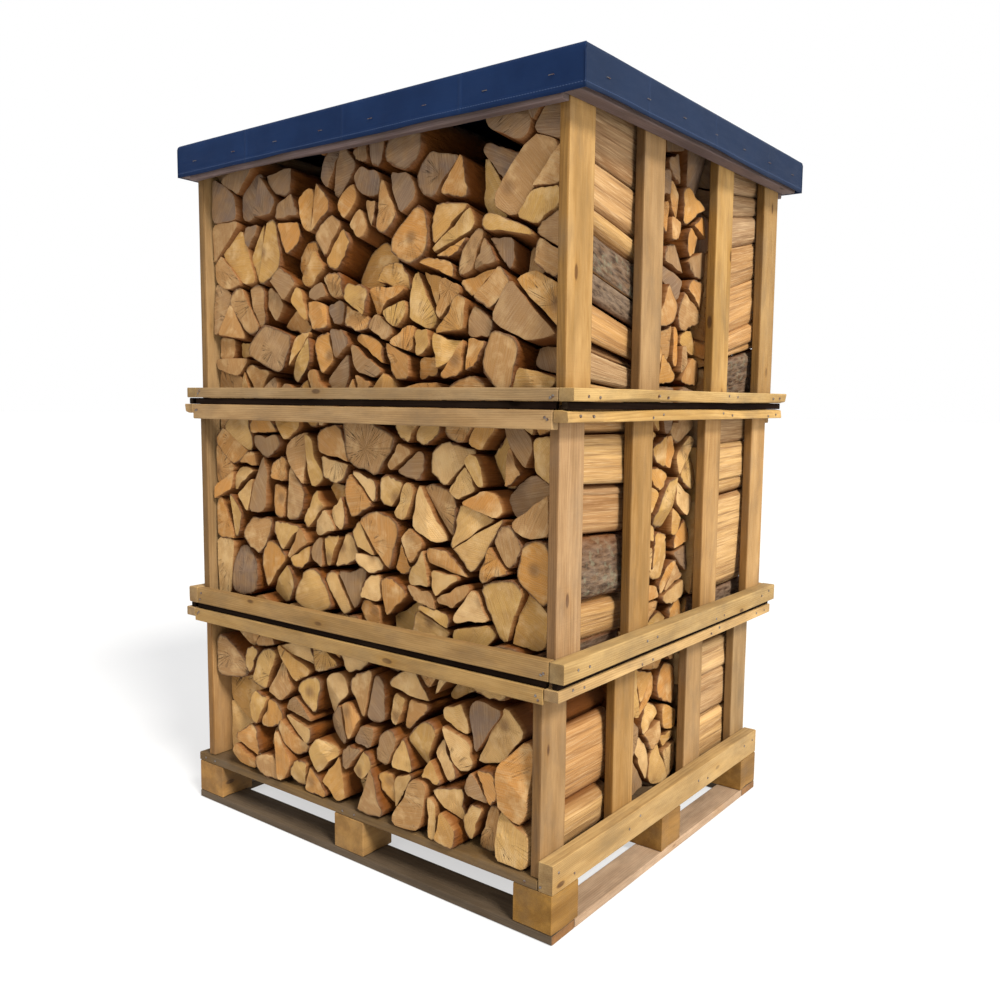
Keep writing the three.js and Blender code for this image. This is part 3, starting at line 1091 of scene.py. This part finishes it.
# Each wood's pale, deep and dark colours. Where it differs from most, the space between its rings, how much
# darker their late wood is, its grime and its shine come after them.
WOODS = {
    "slat_end": ((0.28, 0.175, 0.080), (0.21, 0.115, 0.045), (0.12, 0.060, 0.022), 0.0030, 0.4),
    "slat_wood": ((0.365, 0.228, 0.112), (0.310, 0.178, 0.076), (0.200, 0.098, 0.038)),
    # Painted shade: the slats' narrow edges take a darker copy of the slat wood.
    "slat_edge": ((0.215, 0.115, 0.045), (0.170, 0.084, 0.030), (0.095, 0.043, 0.015), 0.0030, 0.5),
    "rail_end": ((0.32, 0.21, 0.105), (0.24, 0.14, 0.065), (0.13, 0.070, 0.030), 0.0030, 0.4),
    "rail_wood": ((0.465, 0.308, 0.150), (0.385, 0.236, 0.104), (0.220, 0.120, 0.052)),
    # Painted shade: a darker copy of the rail wood, for the rails on the front and back.
    "front_rail_end": ((0.32, 0.21, 0.105), (0.24, 0.14, 0.065), (0.13, 0.070, 0.030), 0.0030, 0.4),
    "front_rail_wood": ((0.350, 0.224, 0.110), (0.290, 0.172, 0.077), (0.175, 0.094, 0.041)),
    # Painted shade: a dark mauve-grey copy of the rail wood for the top rails, in the shade under the cover.
    "top_rail_end": ((0.175, 0.130, 0.120), (0.130, 0.095, 0.088), (0.07, 0.050, 0.045), 0.0030, 0.4),
    "top_rail_wood": ((0.195, 0.140, 0.130), (0.145, 0.100, 0.095), (0.080, 0.055, 0.052)),
    # Painted light: a paler copy for the right bottom board, which lies in the beam's shade.
    "base_end": ((0.34, 0.21, 0.13), (0.26, 0.15, 0.085), (0.14, 0.075, 0.040), 0.0030, 0.4),
    "base_wood": ((0.520, 0.365, 0.250), (0.430, 0.285, 0.185), (0.250, 0.145, 0.085)),
    # The other bottom boards: weather-worn, and darker still as painted shade of the deck above them.
    "weathered_end": ((0.260, 0.128, 0.052), (0.200, 0.092, 0.034), (0.100, 0.045, 0.018), 0.0028, 0.5, 0.3),
    "weathered_wood": ((0.125, 0.088, 0.056), (0.088, 0.060, 0.036), (0.048, 0.030, 0.018), 0.0034, 0.4, 0.6),
    "block_end": ((0.325, 0.170, 0.060), (0.250, 0.120, 0.040), (0.110, 0.048, 0.016), 0.0028, 0.45, 0.35),
    "block_wood": ((0.340, 0.185, 0.072), (0.260, 0.130, 0.048), (0.120, 0.055, 0.020), 0.0034, 0.4, 0.4),
    "deck_end": ((0.140, 0.085, 0.038), (0.105, 0.060, 0.025), (0.050, 0.028, 0.012), 0.0028, 0.5, 0.5),
    "deck_wood": ((0.150, 0.092, 0.044), (0.112, 0.066, 0.030), (0.055, 0.032, 0.015), 0.0034, 0.4, 0.6),
    # Near-black strips between the rails: partly a dark filler, partly painted shade standing in for the
    # gap's deep shade.
    "packing_end": ((0.010, 0.006, 0.004), (0.007, 0.004, 0.003), (0.004, 0.002, 0.001), *RINGS, 0.35, 0.02),
    "packing_wood": ((0.012, 0.007, 0.005), (0.008, 0.004, 0.003), (0.004, 0.002, 0.001), *RINGS, 0.05, 0.02),
}


def woods():
    """The materials of each kind of board: for its ends, for its faces and, for slats, for its edges, which
    are darker as painted shade.
    """
    found = {}
    for name, values in WOODS.items():
        found.setdefault(name.rpartition("_")[0], []).append(sawn_wood(name, *values))
    return found


def kind_of(name):
    """The kind of wood that a CAD board is made of."""
    # The top rails take the mauve-grey wood, painted shade under the cover.
    if name.startswith("tier3_top_rail"):
        return "top_rail"
    if name.startswith("block"):
        return "block"
    # The right bottom board takes the paler wood (painted light); the others the darker wood (wear and
    # painted shade).
    if name.startswith("bottom_board"):
        return "base" if name == "bottom_board_right" else "weathered"
    if "slat" in name:
        return "slat"
    # The front and back rails take the darker copy of the rail wood, as painted shade.
    return "front_rail" if name.endswith(("rail_front", "rail_back")) else "rail"


def add_boards():
    materials = woods()
    rng = random.Random(5)
    for entry in frame["record"]["subparts"]:
        name, slot = entry["node"], entry["material_slot"]
        if name in ("log_stack", "cover", "deck"):
            continue
        low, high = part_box(name)
        wane = WANE if "rail" in name and rng.random() < 0.45 else 0.0
        made = board(f"{name}_board", low, high, materials[kind_of(name)], slot, rng, wane)
        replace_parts(made, name)
    add_deck(materials["deck"], rng)
    add_top_side_rails(materials["top_rail"], rng)
    add_dark_strips(materials["packing"], rng)


def add_dark_strips(materials, rng):
    """Near-black strips in the gaps between the rings of rails, where one tier stands on the next: partly a
    dark filler, partly painted shade.
    """
    for below, above in zip(RAIL_RINGS[::2], RAIL_RINGS[1::2]):
        batch = Batch()
        for side in ("front", "back", "left", "right"):
            lower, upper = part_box(f"{below}_{side}"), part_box(f"{above}_{side}")
            ends = -DARK_STRIP_BACK if side in ("front", "back") else DARK_STRIP_BACK
            insets = (ends, DARK_STRIP_BACK, 0)
            low = [max(a, b) + inset for a, b, inset in zip(lower[0], upper[0], insets)]
            high = [min(a, b) - inset for a, b, inset in zip(lower[1], upper[1], insets)]
            low[2], high[2] = lower[1].z, upper[0].z
            add_board(batch, Vector(low), Vector(high), rng)
        batch.make(f"{below}_packing", materials, "rail_wood")


def add_deck(materials, rng):
    """The deck's separate boards, side by side along X, with the gaps that air the logs."""
    low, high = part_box("deck")
    batch = Batch()
    depth = high.y - low.y
    count = int((depth + DECK_SPACE) // (DECK_BOARD + DECK_SPACE))
    pitch = (depth - DECK_BOARD) / (count - 1)
    for index in range(count):
        start = low.y + index * pitch
        add_board(batch, (low.x, start, low.z), (high.x, start + DECK_BOARD, high.z), rng)
    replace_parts(batch.make("deck_boards", materials, "slat_wood"), "deck")


def add_top_side_rails(materials, rng):
    """The two side rails hidden under the cover's skirt."""
    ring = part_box("tier3_top_rail_front")
    for side in ("left", "right"):
        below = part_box(f"tier3_bottom_rail_{side}")
        low = (below[0].x, below[0].y, ring[0].z + 0.010)
        high = (below[1].x, below[1].y, ring[1].z)
        board(f"tier3_top_rail_{side}_board", low, high, materials, "rail_wood", rng)


# ---------------- nails and staples


def tube(start, rings, sides):
    """The faces of a closed tube whose rings of points follow one another from start."""
    faces = []
    for ring in range(rings - 1):
        first = start + ring * sides
        for k in range(sides):
            a, b = first + k, first + (k + 1) % sides
            faces.append((a, b, b + sides, a + sides))
    last = start + (rings - 1) * sides
    return faces + [tuple(range(start, start + sides))[::-1], tuple(range(last, last + sides))]


def nail_places(rng):
    """Where nail heads show, as (point, outward direction)."""
    found = []

    def near_middle(low, high):
        return (low.z + high.z) / 2 + rng.uniform(-0.25, 0.25) * (high.z - low.z)

    for side, sign in (("left", -1), ("right", 1)):
        rails = [f"{ring}_{side}" for ring in RAIL_RINGS]
        if side == "right":
            rails.append("side_beam")
        for rail in rails:
            tier = "tier1" if rail == "side_beam" else rail.split("_")[0]
            low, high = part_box(rail)
            for place in ("front", "mid_front", "mid_back", "back"):
                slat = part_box(f"{tier}_slat_{side}_{place}")
                for offset in (-0.024, 0.024):
                    z = near_middle(low, high)
                    y = (slat[0].y + slat[1].y) / 2 + offset + rng.uniform(-0.006, 0.006)
                    found.append((Vector((high.x if sign > 0 else low.x, y, z)), Vector((sign, 0, 0))))
    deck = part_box("deck")
    for side, sign in (("front", -1), ("back", 1)):
        outward = Vector((0, sign, 0))
        for ring in RAIL_RINGS:
            low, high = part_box(f"{ring}_{side}")
            for x in (low.x + 0.012, low.x + 0.018, high.x - 0.018, high.x - 0.012):
                found.append((Vector((x, high.y if sign > 0 else low.y, near_middle(low, high))), outward))
        for column in ("left", "centre", "right"):
            low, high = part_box(f"block_{side}_{column}")
            for share in (0.3, 0.7):
                x = low.x + (high.x - low.x) * share
                y = deck[1].y if sign > 0 else deck[0].y
                found.append((Vector((x, y, (deck[0].z + deck[1].z) / 2)), outward))
    return found


def add_nails(metal):
    points, faces = [], []
    for place, outward in nail_places(random.Random(71)):
        across = outward.orthogonal().normalized()
        upward = outward.cross(across)
        faces += tube(len(points), 3, NAIL_SIDES)
        for depth, radius in ((-NAIL_DEPTH, 1.0), (NAIL_PROUD * 0.5, 1.0), (NAIL_PROUD, 0.8)):
            for k in range(NAIL_SIDES):
                angle = 2 * math.pi * k / NAIL_SIDES
                ring = (across * math.cos(angle) + upward * math.sin(angle)) * NAIL_RADIUS * radius
                points.append(place + outward * depth + ring)
    add_piece("nails", new_mesh("nails", points, faces, [metal]))


def staple_places():
    """Where staples hold the cover's skirt to the top rails: point, direction along the skirt, outward."""
    low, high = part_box("cover")
    found = []
    for along, across in ((0, 1), (1, 0)):
        start, end = low[along] + STAPLE_SPACE / 2, high[along] - STAPLE_SPACE / 2
        count = int(round((end - start) / STAPLE_SPACE)) + 1
        for outward, face in ((1.0, high[across]), (-1.0, low[across])):
            direction, normal = Vector((0, 0, 0)), Vector((0, 0, 0))
            direction[along] = 1.0
            normal[across] = outward
            for index in range(count):
                place = Vector((0, 0, low.z + STAPLE_HEIGHT))
                place[along] = start + (end - start) * index / (count - 1)
                place[across] = face
                found.append((place, direction, normal))
    return found


def add_staples(metal):
    """Each staple is a flat wire pressed into the cloth, its two ends bent in."""
    points, faces = [], []
    for place, direction, normal in staple_places():
        upward = normal.cross(direction)
        faces += tube(len(points), len(STAPLE_SHAPE), 4)
        for share, depth in STAPLE_SHAPE:
            middle = place + direction * (share * STAPLE_WIDTH / 2) + normal * (depth + STAPLE_PROUD)
            for lift, back in ((-1, 0), (1, 0), (1, 1), (-1, 1)):
                points.append(middle + upward * (lift * STAPLE_WIRE / 2) - normal * (back * STAPLE_WIRE))
    add_piece("staples", new_mesh("staples", points, faces, [metal]))


# ---------------- cover


def fold(distance):
    """How far out and down the cloth is, this far past the start of its folded edge."""
    bend = COVER_FOLD * math.pi / 2
    if distance <= 0:
        return distance, 0.0
    if distance < bend:
        angle = distance / COVER_FOLD
        return COVER_FOLD * math.sin(angle), COVER_FOLD * (1 - math.cos(angle))
    return COVER_FOLD, COVER_FOLD + distance - bend


def cover_lines(half, drop):
    """Distances from the middle of the sheet at which it has a line of points, and where its fold ends."""
    bend = COVER_FOLD * math.pi / 2
    flat = half - COVER_FOLD
    top = list(np.linspace(0, flat, int(flat / COVER_MESH) + 1))
    bent = [flat + bend * k / 3 for k in (1, 2, 3)]
    skirt = [flat + bend + (drop - COVER_FOLD) * k / 9 for k in range(1, 10)]
    positive = top + bent + skirt
    return sorted([-value for value in positive[1:]] + positive), flat + bend


def cover_points(low, high, half, drop):
    """The cloth's points, by the lines they are on, with none where two sides of the skirt would overlap."""
    middle = (low + high) / 2
    rng = random.Random(97)
    phases = [rng.uniform(0, 6.3) for _ in range(10)]
    s_lines, s_edge = cover_lines(half[0], drop)
    t_lines, t_edge = cover_lines(half[1], drop)

    def ripple(a, b, k):
        long_wave = math.sin(a * 5.1 + phases[k])
        cross_wave = 0.6 * math.sin(a * 13.7 + b * 9.0 + phases[k + 1])
        return (long_wave + cross_wave + 0.4 * math.sin(a * 29.0 + phases[k + 2])) / 2.0

    def out_of_plane(along, line, k, depth, to_corner):
        ease = min(1.0, to_corner / COVER_EASE)
        swell = abs(COVER_RIPPLE * ripple(along, line, k) * depth - 0.0008)
        return math.copysign(swell, line) * ease - math.copysign(0.001, line)

    found = {}
    for i, s in enumerate(s_lines):
        for j, t in enumerate(t_lines):
            if abs(s) > s_edge + 1e-9 and abs(t) > t_edge + 1e-9:
                continue
            out_s, drop_s = fold(abs(s) - (half[0] - COVER_FOLD))
            out_t, drop_t = fold(abs(t) - (half[1] - COVER_FOLD))
            x = math.copysign(half[0] - COVER_FOLD + out_s, s) if s else 0.0
            y = math.copysign(half[1] - COVER_FOLD + out_t, t) if t else 0.0
            down = max(drop_s, drop_t)
            depth = down / drop
            if drop_s > drop_t:
                x += out_of_plane(y, s, 3, depth, half[1] - abs(y))
            elif drop_t > 0:
                y += out_of_plane(x, t, 6, depth, half[0] - abs(x))
            else:
                inside = min(1.0, (half[0] - abs(x)) / 0.12, (half[1] - abs(y)) / 0.12)
                waves = 1 + ripple(x * 1.4, y * 2.0, 0) * math.sin(y * 7 + phases[9])
                down += COVER_SAG * inside + COVER_WAVES * inside * waves
            wavy_hem = 0.0028 * depth * (1 + ripple(x + y, 0, 3))
            found[i, j] = (middle.x + x, middle.y + y, high.z - COVER_THICK / 2 - down + wavy_hem)
    return found


def add_cover():
    low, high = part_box("cover")
    half = ((high.x - low.x) / 2 - COVER_THICK / 2, (high.y - low.y) / 2 - COVER_THICK / 2)
    drop = high.z - low.z
    points = cover_points(low, high, half, drop)
    order = {key: index for index, key in enumerate(points)}
    faces = []
    for i, j in points:
        corners = [(i, j), (i + 1, j), (i + 1, j + 1), (i, j + 1)]
        if all(corner in points for corner in corners):
            faces.append(tuple(order[corner] for corner in corners))
    mesh = new_mesh("cover_cloth", points.values(), faces, [navy_cloth()])
    weld(mesh, 0.0006)
    mesh.polygons.foreach_set("use_smooth", [True] * len(mesh.polygons))
    cover = add_piece("cover_cloth", mesh)
    solid = cover.modifiers.new("thickness", "SOLIDIFY")
    solid.thickness = COVER_THICK
    solid.offset = -1.0
    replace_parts(cover, "cover")


def weld(mesh, distance):
    work = bmesh.new()
    work.from_mesh(mesh)
    bmesh.ops.remove_doubles(work, verts=work.verts, dist=distance)
    work.to_mesh(mesh)
    work.free()


# ---------------- all of it

add_camera()
add_studio()
add_logs()
add_boards()
metal = steel()
add_nails(metal)
add_staples(metal)
add_cover()
